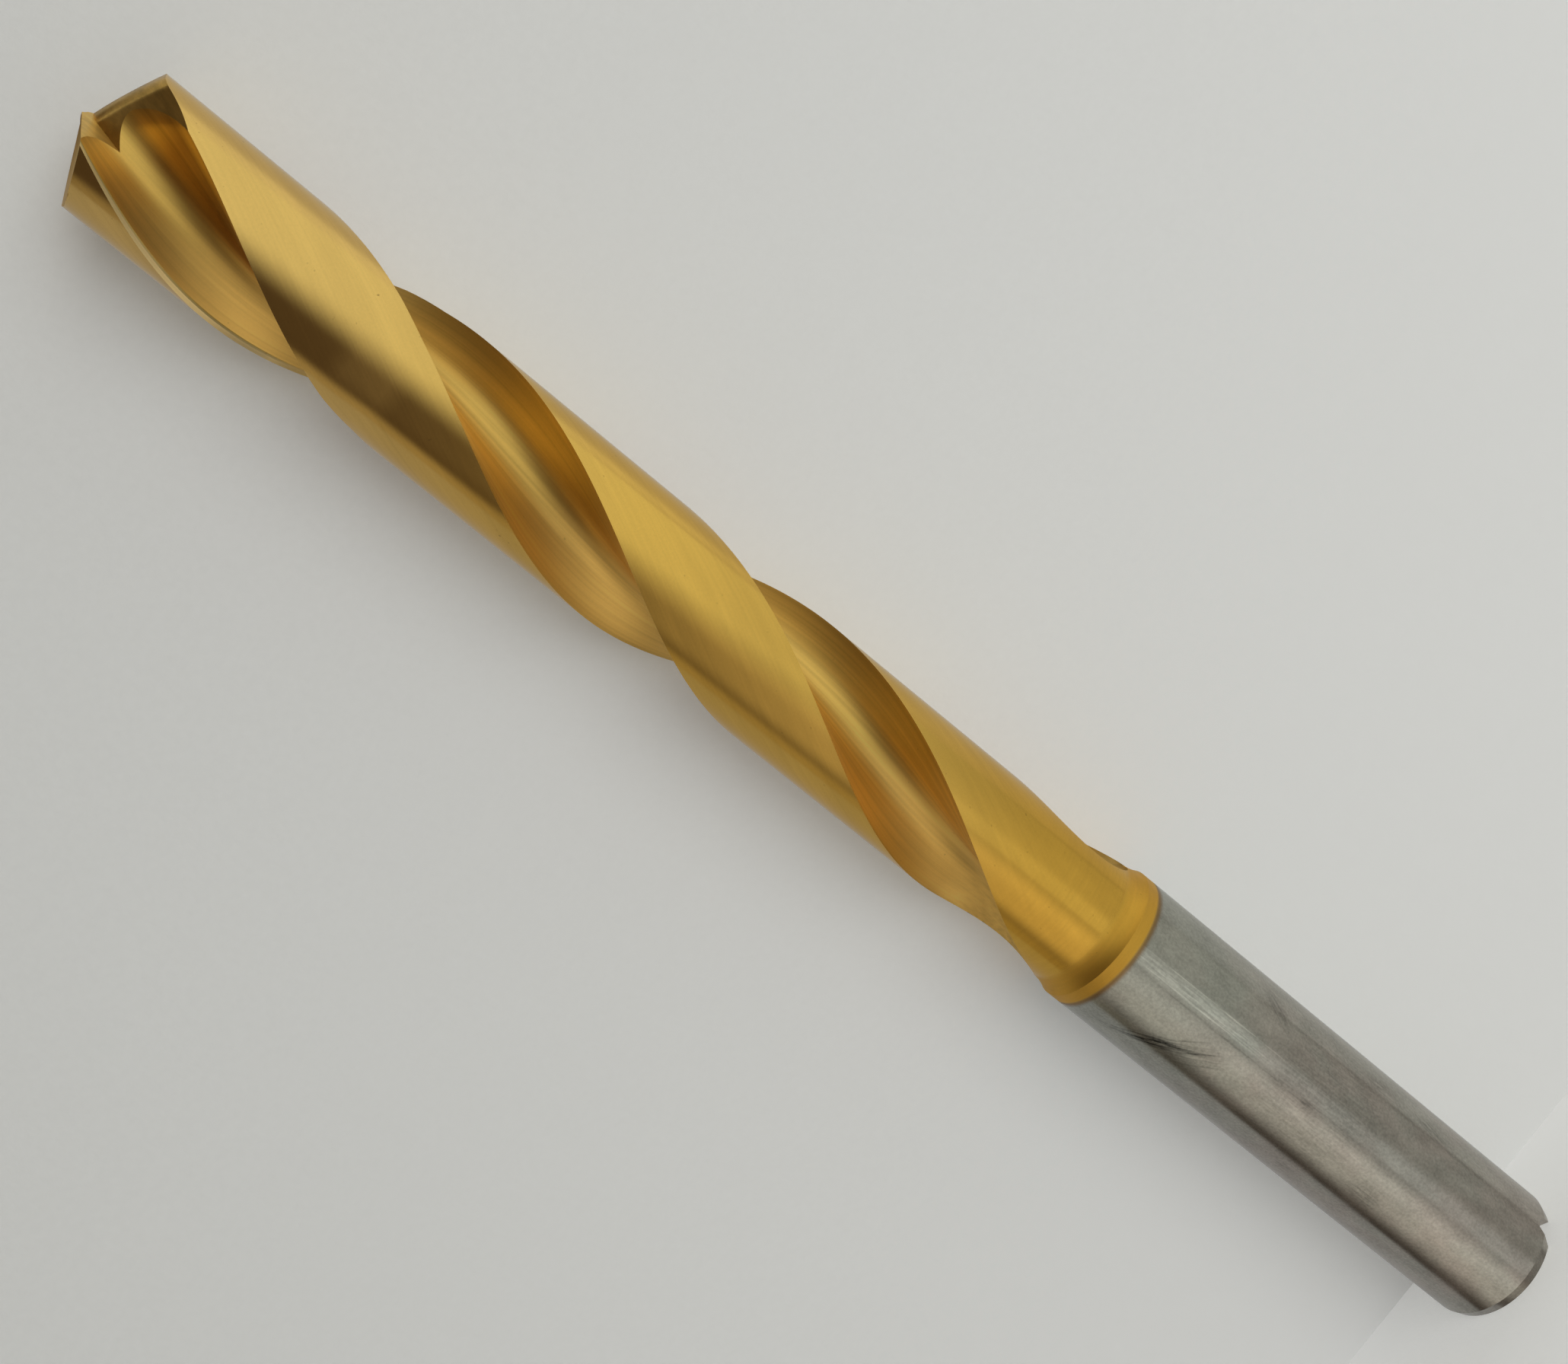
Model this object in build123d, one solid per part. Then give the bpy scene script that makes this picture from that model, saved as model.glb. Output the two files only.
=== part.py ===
from build123d import *
import math
import os

# Solid carbide twist drill with two flutes, ground from one rod, millimetres.
# It stands on its shank end: the origin is the centre of the flat end face,
# +Z runs up the axis to the point, and the side in the photograph faces -Y.

# Rod and shank
overall_length = 142.8
shank_diameter = 12.0
shank_length = 47.1
shank_chamfer_radial = 0.32
shank_chamfer_length = 0.95

# Cutting head, the thinner fluted body behind it and the concave flare to the shank
cutting_diameter = 11.5
head_length = 24.0
head_taper_length = 3.0
body_diameter = 11.1
flare_length = 1.9

# Flutes
flute_count = 2
helix_lead = 66.4
land_angle = 100.0
web_radius = 1.72
valley_radius = 2.5
lip_wall_radius = 12.0
edge_land = 0.38
lip_offset = 0.45
lip_direction = 68.2
runout_radius = 16.0
runout_bearing = 85.0
runout_overlap = 0.4
loft_step_angle = 15.0

# Point
point_angle = 140.0
primary_relief = 20.0
heel_slope = 50.5
crest_drop = 0.61
crest_offset = 0.39
crest_relief = 23.3
crest_turn = 5.8
crest_radius = 2.0
crest_bow_radius = 38.0
crest_sweep_angle = 80.0
gash_offset = 0.22
gash_turn = 4.0

# Slot ground across the shank end
slot_direction = -41.0
slot_depth = 1.6
slot_mouth_width = 2.5
slot_floor_width = 0.88

# How far a cutting tool reaches past the surface that it cuts
overcut = 1.5

# Derived sizes
cutting_radius = cutting_diameter / 2
body_radius = body_diameter / 2
shank_radius = shank_diameter / 2
head_bottom = overall_length - head_length
body_top = head_bottom - head_taper_length
half_point = math.radians(point_angle / 2)
lip_fall = 1 / math.tan(half_point)
primary_fall = math.tan(math.radians(primary_relief))
crest_fall = math.tan(math.radians(crest_relief))
heel_rise = math.tan(math.radians(heel_slope))
lip_reach = math.sqrt(cutting_radius ** 2 - lip_offset ** 2)
lip_top = overall_length + primary_fall * lip_offset
corner_height = lip_top - lip_fall * lip_reach
flare_top = shank_length + flare_length
flute_end = flare_top - runout_overlap


def turn_at(height):
    """Angle of the first lip's section about +Z at a height, in degrees."""
    return lip_direction + 360.0 * (height - corner_height) / helix_lead


def blank():
    """The ground rod before the flutes: chamfered shank, concave flare, body, head."""
    step = shank_radius - body_radius
    flare_chord = math.hypot(flare_length, step)
    flare_lean = math.atan2(step, flare_length)
    flare_sag = flare_chord / 2 * math.tan(flare_lean / 2)
    end_radius = shank_radius - shank_chamfer_radial
    lower = Polyline(
        (0, 0, 0),
        (end_radius, 0, 0),
        (shank_radius, 0, shank_chamfer_length),
        (shank_radius, 0, shank_length),
    )
    flare_middle = (
        body_radius + step / 2 - flare_sag * math.cos(flare_lean),
        0,
        flare_top - flare_length / 2 - flare_sag * math.sin(flare_lean),
    )
    flare = ThreePointArc(
        (shank_radius, 0, shank_length),
        flare_middle,
        (body_radius, 0, flare_top),
    )
    upper = Polyline(
        (body_radius, 0, flare_top),
        (body_radius, 0, body_top),
        (cutting_radius, 0, head_bottom),
        (cutting_radius, 0, overall_length),
        (0, 0, overall_length),
        (0, 0, 0),
    )
    return revolve(make_face(lower + flare + upper), Axis.Z)


# The flute's section, seen down the axis with the lip along +X.
# A narrow land follows the edge, then the hollow lip wall runs into the valley,
# which touches the web, and the straight heel wall ends at the next land.
valley_y = lip_offset + valley_radius
valley_x = math.sqrt((web_radius + valley_radius) ** 2 - valley_y ** 2)
land_x = cutting_radius - edge_land
lip_corner_angle = math.degrees(math.asin(lip_offset / cutting_radius))
flute_angle = 360.0 / flute_count - land_angle
heel_angle = math.radians(lip_corner_angle + flute_angle)
heel_x = cutting_radius * math.cos(heel_angle)
heel_y = cutting_radius * math.sin(heel_angle)


def on_valley(angle):
    """Point of the valley's circle at an angle in radians."""
    return (
        valley_x + valley_radius * math.cos(angle),
        valley_y + valley_radius * math.sin(angle),
    )


def lip_wall_centre():
    """Centre of the lip wall's arc: it starts at the edge land and touches the valley."""
    span = math.hypot(land_x - valley_x, lip_offset - valley_y)
    inside = lip_wall_radius - valley_radius
    along = (span ** 2 + lip_wall_radius ** 2 - inside ** 2) / (2 * span)
    across = math.sqrt(lip_wall_radius ** 2 - along ** 2)
    unit_x = (valley_x - land_x) / span
    unit_y = (valley_y - lip_offset) / span
    return (
        land_x + unit_x * along + unit_y * across,
        lip_offset + unit_y * along - unit_x * across,
    )


def flute_section():
    """Closed outline of one flute, from the lip wall to the heel wall."""
    to_heel = math.hypot(heel_x - valley_x, heel_y - valley_y)
    bearing = math.atan2(heel_y - valley_y, heel_x - valley_x)
    heel_touch = bearing + math.acos(valley_radius / to_heel)
    tangent = on_valley(heel_touch)
    reach = cutting_radius + web_radius + overcut
    stretch = (reach - tangent[1]) / (heel_y - tangent[1])
    heel_out = (tangent[0] + stretch * (heel_x - tangent[0]), reach)
    centre = lip_wall_centre()
    lip_touch = math.atan2(valley_y - centre[1], valley_x - centre[0]) + 2 * math.pi
    edge_touch = math.atan2(lip_offset - centre[1], land_x - centre[0]) + 2 * math.pi
    halfway = (lip_touch + edge_touch) / 2
    middle = (
        centre[0] + lip_wall_radius * math.cos(halfway),
        centre[1] + lip_wall_radius * math.sin(halfway),
    )
    lip_out = (reach, lip_offset)
    edge = (land_x, lip_offset)
    lip_land = Line(lip_out, edge)
    lip_wall = ThreePointArc(edge, middle, on_valley(lip_touch))
    valley_middle = on_valley((lip_touch + heel_touch) / 2)
    valley = ThreePointArc(on_valley(lip_touch), valley_middle, tangent)
    heel_wall = Line(tangent, heel_out)
    rest = Polyline(heel_out, (reach, reach), lip_out)
    return make_face(lip_land + lip_wall + valley + heel_wall + rest)


def wheel_run(lift):
    """Length along the axis in which the grinding wheel rises by a lift."""
    return math.sqrt(runout_radius ** 2 - (runout_radius - lift) ** 2)


def lift_for_depth(depth):
    """Lift along the run-out bearing that leaves the valley a depth below the body."""
    along = (web_radius + valley_radius) * math.cos(
        math.radians(runout_bearing) - math.atan2(valley_y, valley_x)
    )
    target = body_radius - depth + valley_radius
    return math.sqrt(along ** 2 + target ** 2 - (web_radius + valley_radius) ** 2) - along


surface_lift = lift_for_depth(0.0)
runout_start = flute_end + wheel_run(surface_lift)
runout_bottom = runout_start - wheel_run(lift_for_depth(-overcut))


def runout_shift(height):
    """How far the grinding wheel has lifted out of the flute at a height."""
    into = max(0.0, runout_start - height)
    return runout_radius - math.sqrt(runout_radius ** 2 - into ** 2)


def climb_heights(bottom, top):
    """Heights of the sections, a fixed twist apart, that a helical cut is drawn through."""
    steps = math.ceil((top - bottom) / helix_lead * 360.0 / loft_step_angle)
    return [bottom + (top - bottom) * i / steps for i in range(steps + 1)]


def flute():
    """One helical flute with its run-out, as the solid that is ground away."""
    section = flute_section()
    bearing = math.radians(runout_bearing)
    placed = []
    for height in climb_heights(runout_bottom, overall_length + overcut):
        shift = runout_shift(height)
        moved = Pos(shift * math.cos(bearing), shift * math.sin(bearing), 0) * section
        placed.append(Pos(0, 0, height) * Rot(0, 0, turn_at(height)) * moved)
    return loft(placed)


def point_planes():
    """The primary flank planes, one through each lip."""
    planes = []
    for i in range(flute_count):
        frame = Rot(0, 0, lip_direction + 360.0 * i / flute_count)
        lip_start = Pos(0, lip_offset, lip_top) * Vertex(0, 0, 0)
        origin = (frame * lip_start).center()
        tip = (frame * Vertex(lip_fall, -primary_fall, 1)).center()
        planes.append(Plane(origin=origin, z_dir=tip))
    return planes


def bow_centre():
    """Y and Z of the centre of the crest's bow, which spans from the axis to the land."""
    drop = crest_fall * cutting_radius
    chord = math.hypot(cutting_radius, drop)
    depth = math.sqrt(crest_bow_radius ** 2 - (chord / 2) ** 2)
    return (
        depth * drop / chord - cutting_radius / 2,
        lip_top - crest_drop - drop / 2 - depth * cutting_radius / chord,
    )


def heel_cut():
    """Heel facet with its rounded, bowed crest and gash, ground behind one lip."""
    reach = cutting_radius + overcut
    ridge = (crest_offset, crest_bow_radius)
    left = (-reach, crest_bow_radius - heel_rise * (reach + crest_offset))
    right = (reach, crest_bow_radius)
    top = crest_bow_radius + reach
    roof = Polyline(left, ridge, right)
    roof = fillet(roof.vertices().sort_by(Axis.X)[1], crest_radius)
    rest = Polyline(right, (reach, top), (-reach, top), left)
    centre_y, centre_z = bow_centre()
    profile = Pos(0, centre_y, centre_z) * (Plane.XZ * make_face(roof + rest))
    wheel_axis = Axis((0, centre_y, centre_z), (1, 0, 0))
    bowed = revolve(profile, wheel_axis, revolution_arc=crest_sweep_angle)
    cutter = Rot(0, 0, -crest_turn) * bowed
    turn = math.radians(gash_turn)
    gash_normal = (-math.sin(turn), math.cos(turn), 0)
    gash = Plane(origin=(0, -gash_offset, 0), z_dir=gash_normal)
    return split(cutter, bisect_by=gash, keep=Keep.BOTTOM)


def shank_slot():
    """The tapered slot across the shank end."""
    floor_end = slot_floor_width / 2
    mouth_end = slot_mouth_width / 2
    outline = Polyline(
        (-mouth_end, 0),
        (-floor_end, slot_depth),
        (floor_end, slot_depth),
        (mouth_end, 0),
        (mouth_end, -overcut),
        (-mouth_end, -overcut),
        (-mouth_end, 0),
    )
    profile = Plane.YZ * make_face(outline)
    cutter = extrude(profile, amount=shank_radius + overcut, both=True)
    return Rot(0, 0, slot_direction) * cutter


one_flute = flute()
one_heel = heel_cut()

drill = blank()
for plane in point_planes():
    drill = split(drill, bisect_by=plane, keep=Keep.BOTTOM)
for i in range(flute_count):
    spin = Rot(0, 0, 360.0 * i / flute_count)
    lip_frame = Rot(0, 0, lip_direction + 360.0 * i / flute_count)
    drill -= spin * one_flute
    drill -= lip_frame * one_heel
drill -= shank_slot()

os.makedirs("parts", exist_ok=True)
export_step(drill, "parts/carbide_drill.step")
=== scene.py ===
"""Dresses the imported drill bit: a finer ground mesh, its gold coating and a small studio."""

import logging
import math
from dataclasses import dataclass, field
from enum import Enum
from functools import cached_property

import bmesh
import bpy
from mathutils import Matrix, Vector

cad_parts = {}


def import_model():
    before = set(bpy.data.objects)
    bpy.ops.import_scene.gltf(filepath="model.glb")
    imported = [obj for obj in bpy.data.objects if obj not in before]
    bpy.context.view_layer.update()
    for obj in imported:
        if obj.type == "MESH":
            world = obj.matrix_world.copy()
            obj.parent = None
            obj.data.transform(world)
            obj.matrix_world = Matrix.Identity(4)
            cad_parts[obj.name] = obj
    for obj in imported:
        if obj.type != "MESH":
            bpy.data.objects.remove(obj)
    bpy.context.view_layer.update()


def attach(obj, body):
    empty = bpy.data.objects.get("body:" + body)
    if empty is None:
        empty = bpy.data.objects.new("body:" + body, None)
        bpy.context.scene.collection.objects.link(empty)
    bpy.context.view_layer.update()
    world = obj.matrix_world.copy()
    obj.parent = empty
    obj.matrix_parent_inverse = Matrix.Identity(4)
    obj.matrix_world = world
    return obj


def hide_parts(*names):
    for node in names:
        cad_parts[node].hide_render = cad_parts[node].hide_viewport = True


LOG = logging.getLogger("drill")

# The model is measured in millimetres here and built in metres.
MM = 0.001
# Corners nearer to each other than this, in metres, are one.
MERGE = 1e-7

# Short names for the types in the signatures
Point2 = tuple[float, float]
Point3 = tuple[float, float, float]
Colour = tuple[float, float, float]
Piece = bpy.types.Object
Tree = bpy.types.NodeTree
Socket = bpy.types.NodeSocket
Sockets = bpy.types.bpy_prop_collection
Sources = dict[str | int, object]


def evenly(start: float, end: float, steps: int) -> list[float]:
    """Evenly spaced numbers from one to another, both included."""
    return [start + (end - start) * i / steps for i in range(steps + 1)]


# Modelling moves, as they are made by hand in edit mode


class Bench:
    """The modelling moves that every sub-assembly shares."""

    @staticmethod
    def clear_selection() -> None:
        """Leave nothing selected and no object in edit mode."""
        if bpy.context.object and bpy.context.object.mode != "OBJECT":
            bpy.ops.object.mode_set(mode="OBJECT")
        bpy.ops.object.select_all(action="DESELECT")

    @staticmethod
    def pick(piece: Piece) -> None:
        """Make one object the only selected and active one."""
        Bench.clear_selection()
        piece.select_set(True)
        bpy.context.view_layer.objects.active = piece

    @staticmethod
    def edit(piece: Piece) -> bmesh.types.BMesh:
        """Open an object in edit mode with everything selected.

        Args:
            piece: the mesh object to open.

        Returns:
            The edit mesh.
        """
        Bench.pick(piece)
        bpy.ops.object.mode_set(mode="EDIT")
        bpy.ops.mesh.select_all(action="SELECT")
        return bmesh.from_edit_mesh(piece.data)

    @staticmethod
    def close(piece: Piece) -> Piece:
        """Merge doubles, turn the faces outwards and leave edit mode.

        Args:
            piece: the object that is open in edit mode.

        Returns:
            The same object.
        """
        bpy.ops.mesh.select_all(action="SELECT")
        bpy.ops.mesh.remove_doubles(threshold=MERGE)
        bpy.ops.mesh.normals_make_consistent(inside=False)
        bpy.ops.mesh.select_all(action="DESELECT")
        bpy.ops.object.mode_set(mode="OBJECT")
        return piece

    @staticmethod
    def trim(piece: Piece, through: Vector | Point3, outwards: Vector | Point3) -> None:
        """Cut a closed mesh off at a plane and fill the cut.

        Args:
            piece: the object that is cut.
            through: a point of the plane, in metres.
            outwards: the plane's normal, towards what is taken away.
        """
        Bench.edit(piece)
        bpy.ops.mesh.bisect(plane_co=through, plane_no=outwards, clear_outer=True, use_fill=True)
        Bench.close(piece)

    @staticmethod
    def turn(degrees: float, axis: str = "Z") -> Matrix:
        """A turn about one of the axes through the origin."""
        return Matrix.Rotation(math.radians(degrees), 4, axis)

    @staticmethod
    def outline(name: str, points: list[Point2], height: float) -> Piece:
        """A filled circle whose points are moved onto an outline.

        Args:
            name: the name of the new object.
            points: the outline in millimetres, anticlockwise.
            height: the height of its plane in millimetres.

        Returns:
            The flat mesh object at the origin.
        """
        Bench.clear_selection()
        bpy.ops.mesh.primitive_circle_add(vertices=len(points), radius=MM, fill_type="NGON")
        piece = bpy.context.object
        piece.name = name
        mesh = Bench.edit(piece)
        for vertex, (x, y) in zip(mesh.verts, points):
            vertex.co = (x * MM, y * MM, height * MM)
        bmesh.update_edit_mesh(piece.data)
        bpy.ops.object.mode_set(mode="OBJECT")
        return piece

    @staticmethod
    def turned_copy(piece: Piece, degrees: float) -> Piece:
        """A copy with its own mesh, turned about +Z.

        Args:
            piece: the object to copy.
            degrees: the turn about the drill's axis.

        Returns:
            The new object, at the origin and unturned.
        """
        twin = piece.copy()
        twin.data = piece.data.copy()
        bpy.context.collection.objects.link(twin)
        twin.data.transform(Bench.turn(degrees))
        return twin

    @staticmethod
    def cut(piece: Piece, tool: Piece) -> None:
        """Cut one closed mesh with another, which is used up.

        Args:
            piece: the object that is cut.
            tool: the closed mesh that is taken away.
        """
        Bench.pick(piece)
        modifier = piece.modifiers.new("Cut", "BOOLEAN")
        modifier.operation = "DIFFERENCE"
        modifier.solver = "EXACT"
        modifier.object = tool
        bpy.ops.object.modifier_apply(modifier=modifier.name)
        bpy.data.objects.remove(tool)


# The drill's parts, each with its own sizes in millimetres and degrees


@dataclass
class Helix:
    """The right-hand screw line that both flutes follow."""

    lead: float = 66.4
    lip_direction: float = 68.2
    corner_height: float = 140.8774

    def turn(self, height: float) -> float:
        """Angle of the first lip's section about +Z at a height, in degrees."""
        return self.lip_direction + 360.0 * (height - self.corner_height) / self.lead


@dataclass
class GroundRod:
    """The round blank: chamfered shank, concave flare, fluted body and cutting head."""

    overall_length: float = 142.8
    shank_radius: float = 6.0
    shank_length: float = 47.1
    chamfer_radial: float = 0.32
    chamfer_length: float = 0.95
    body_radius: float = 5.55
    cutting_radius: float = 5.75
    head_length: float = 24.0
    head_taper_length: float = 3.0
    flare_length: float = 1.9
    flare_rings: int = 12
    facets: int = 240
    ring_spacing: float = 1.5

    def flare_radius(self, height: float) -> float:
        """Radius of the concave flare at a height between the shank and the body."""
        step = self.shank_radius - self.body_radius
        sweep = (self.flare_length**2 + step**2) / (2 * step)
        below_top = self.shank_length + self.flare_length - height
        return self.body_radius + sweep - math.sqrt(sweep**2 - below_top**2)

    def profile(self) -> list[Point2]:
        """Heights and radii of the rod's rings, from the end face to the point."""
        flare_top = self.shank_length + self.flare_length
        head_bottom = self.overall_length - self.head_length
        rings = [(self.chamfer_length, self.shank_radius)]
        rings += self.spaced(self.chamfer_length, self.shank_length, self.shank_radius)
        for i in range(1, self.flare_rings + 1):
            height = self.shank_length + self.flare_length * i / self.flare_rings
            rings.append((height, self.flare_radius(height)))
        taper_bottom = head_bottom - self.head_taper_length
        rings += self.spaced(flare_top, taper_bottom, self.body_radius)
        rings += self.spaced(head_bottom, self.overall_length, self.cutting_radius)[:-1]
        rings.append((head_bottom, self.cutting_radius))
        return sorted(set(rings))

    def spaced(self, bottom: float, top: float, radius: float) -> list[Point2]:
        """Evenly spaced rings of one radius above a height, the top one included."""
        count = math.ceil((top - bottom) / self.ring_spacing)
        return [(height, radius) for height in evenly(bottom, top, count)[1:]]

    @cached_property
    def rings(self) -> list[Point2]:
        """Heights and radii of all the rings, both ends included."""
        end_face = (0.0, self.shank_radius - self.chamfer_radial)
        return [end_face, *self.profile(), (self.overall_length, self.cutting_radius)]

    def radius_at(self, height: float) -> float:
        """Radius of the rod at a height, between its rings."""
        for (low, below), (high, above) in zip(self.rings, self.rings[1:]):
            if low <= height <= high:
                return below + (above - below) * (height - low) / (high - low)
        return self.cutting_radius

    def build(self) -> Piece:
        """Turn the rod from a cylinder: cut its rings, then size each one.

        Returns:
            The closed rod, standing on its end face at the origin.
        """
        Bench.clear_selection()
        bpy.ops.mesh.primitive_cylinder_add(
            vertices=self.facets,
            radius=self.shank_radius * MM,
            depth=self.overall_length * MM,
            location=(0, 0, self.overall_length * MM / 2),
        )
        rod = bpy.context.object
        rod.name = "twist_drill"
        bpy.ops.object.transform_apply(location=True)
        Bench.edit(rod)
        for height, _ in self.profile():
            bpy.ops.mesh.select_all(action="SELECT")
            bpy.ops.mesh.bisect(plane_co=(0, 0, height * MM), plane_no=(0, 0, 1))
        mesh = bmesh.from_edit_mesh(rod.data)
        for vertex in mesh.verts:
            height = vertex.co.z / MM
            _, radius = min(self.rings, key=lambda ring: abs(ring[0] - height))
            scale = radius * MM / math.hypot(vertex.co.x, vertex.co.y)
            vertex.co.x *= scale
            vertex.co.y *= scale
        bmesh.update_edit_mesh(rod.data)
        return Bench.close(rod)


@dataclass
class Flute:
    """One flute: a hollow lip wall, the valley and a straight heel wall, with its run-out."""

    helix: Helix
    rod: GroundRod
    count: int = 2
    land_angle: float = 100.0
    web_radius: float = 1.72
    valley_radius: float = 2.5
    lip_wall_radius: float = 12.0
    edge_land: float = 0.38
    lip_offset: float = 0.45
    runout_radius: float = 16.0
    runout_bearing: float = 85.0
    runout_overlap: float = 0.4
    overcut: float = 1.5
    rise: float = 0.4
    arc_points: int = 16
    land_steps: int = 6

    @property
    def valley(self) -> Point2:
        """Centre of the valley's circle, which touches the web."""
        y = self.lip_offset + self.valley_radius
        return math.sqrt((self.web_radius + self.valley_radius) ** 2 - y**2), y

    @property
    def heel(self) -> Point2:
        """Corner where the heel wall meets the next land."""
        lip_corner = math.degrees(math.asin(self.lip_offset / self.rod.cutting_radius))
        angle = math.radians(lip_corner + 360.0 / self.count - self.land_angle)
        return self.on_circle((0.0, 0.0), self.rod.cutting_radius, angle)

    def lip_wall_centre(self) -> Point2:
        """Centre of the lip wall's arc, from the edge land to where it touches the valley."""
        valley_x, valley_y = self.valley
        land_x = self.rod.cutting_radius - self.edge_land
        span = math.hypot(land_x - valley_x, self.lip_offset - valley_y)
        inside = self.lip_wall_radius - self.valley_radius
        along = (span**2 + self.lip_wall_radius**2 - inside**2) / (2 * span)
        across = math.sqrt(self.lip_wall_radius**2 - along**2)
        unit_x = (valley_x - land_x) / span
        unit_y = (valley_y - self.lip_offset) / span
        return (
            land_x + unit_x * along + unit_y * across,
            self.lip_offset + unit_y * along - unit_x * across,
        )

    def section(self) -> list[Point2]:
        """Outline of the flute's cutter, anticlockwise, with the lip along +X."""
        valley_x, valley_y = self.valley
        heel_x, heel_y = self.heel
        land_x = self.rod.cutting_radius - self.edge_land
        reach = self.rod.cutting_radius + self.web_radius + self.overcut
        to_heel = math.hypot(heel_x - valley_x, heel_y - valley_y)
        bearing = math.atan2(heel_y - valley_y, heel_x - valley_x)
        heel_touch = bearing + math.acos(self.valley_radius / to_heel)
        touch_x, touch_y = self.on_circle(self.valley, self.valley_radius, heel_touch)
        stretch = (reach - touch_y) / (heel_y - touch_y)
        heel_out = (touch_x + stretch * (heel_x - touch_x), reach)
        centre_x, centre_y = self.lip_wall_centre()
        lip_touch = math.atan2(valley_y - centre_y, valley_x - centre_x) % math.tau
        edge_touch = math.atan2(self.lip_offset - centre_y, land_x - centre_x) % math.tau
        heel_wall = self.run((touch_x, touch_y), heel_out, self.arc_points)
        valley_arc = self.arc(self.valley, self.valley_radius, lip_touch, heel_touch % math.tau)
        lip_wall = self.arc((centre_x, centre_y), self.lip_wall_radius, edge_touch, lip_touch)
        edge, lip_out = (land_x, self.lip_offset), (reach, self.lip_offset)
        lip_land = self.run(lip_out, edge, self.land_steps)
        path = lip_land[:-1] + lip_wall[:-1] + valley_arc[:-1] + heel_wall + [(reach, reach)]
        return path[::-1]

    def arc(self, centre: Point2, radius: float, start: float, end: float) -> list[Point2]:
        """Points of an arc between two angles in radians, both ends included."""
        angles = evenly(start, end, self.arc_points)
        return [self.on_circle(centre, radius, angle) for angle in angles]

    @staticmethod
    def on_circle(centre: Point2, radius: float, angle: float) -> Point2:
        """Point of a circle at an angle in radians."""
        return centre[0] + radius * math.cos(angle), centre[1] + radius * math.sin(angle)

    @staticmethod
    def run(start: Point2, end: Point2, steps: int) -> list[Point2]:
        """Evenly spaced points of a straight run, both ends included."""
        return list(zip(evenly(start[0], end[0], steps), evenly(start[1], end[1], steps)))

    def wheel_run(self, lift: float) -> float:
        """Length along the axis in which the grinding wheel rises by a lift."""
        return math.sqrt(self.runout_radius**2 - (self.runout_radius - lift) ** 2)

    def lift_for_depth(self, depth: float) -> float:
        """Lift along the run-out bearing that leaves the valley a depth below the body."""
        valley_x, valley_y = self.valley
        away = self.web_radius + self.valley_radius
        along = away * math.cos(math.radians(self.runout_bearing) - math.atan2(valley_y, valley_x))
        target = self.rod.body_radius - depth + self.valley_radius
        return math.sqrt(along**2 + target**2 - away**2) - along

    def runout_start(self) -> float:
        """Height at which the wheel starts to lift out of the flute."""
        end = self.rod.shank_length + self.rod.flare_length - self.runout_overlap
        return end + self.wheel_run(self.lift_for_depth(0.0))

    def shift(self, height: float) -> float:
        """How far the grinding wheel has lifted out of the flute at a height."""
        into = max(0.0, self.runout_start() - height)
        return self.runout_radius - math.sqrt(self.runout_radius**2 - into**2)

    def build_cutter(self) -> Piece:
        """Extrude the section up the helix, a turn and a lift at a time.

        Returns:
            The closed solid that one flute takes away.
        """
        bottom = self.runout_start() - self.wheel_run(self.lift_for_depth(-self.overcut))
        top = self.rod.overall_length + self.overcut
        heights = evenly(bottom, top, math.ceil((top - bottom) / self.rise))
        cutter = Bench.outline("flute_cutter", self.section(), bottom)
        lift = Matrix.Translation(self.lift_vector(bottom))
        cutter.data.transform(lift @ Bench.turn(self.helix.turn(bottom)))
        Bench.edit(cutter)
        for below, above in zip(heights, heights[1:]):
            turn = math.radians(self.helix.turn(above) - self.helix.turn(below))
            back = self.lift_vector(below)
            out = self.lift_vector(above)
            bpy.ops.mesh.extrude_region_move(
                TRANSFORM_OT_translate={"value": (-back.x, -back.y, (above - below) * MM)}
            )
            bpy.ops.transform.rotate(value=-turn, orient_axis="Z", center_override=(0, 0, 0))
            bpy.ops.transform.translate(value=(out.x, out.y, 0))
        return Bench.close(cutter)

    def lift_vector(self, height: float) -> Vector:
        """The run-out's shift at a height as a vector across the drill, in metres."""
        bearing = math.radians(self.runout_bearing + self.helix.turn(height))
        shift = self.shift(height) * MM
        return Vector((shift * math.cos(bearing), shift * math.sin(bearing), 0.0))


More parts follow.
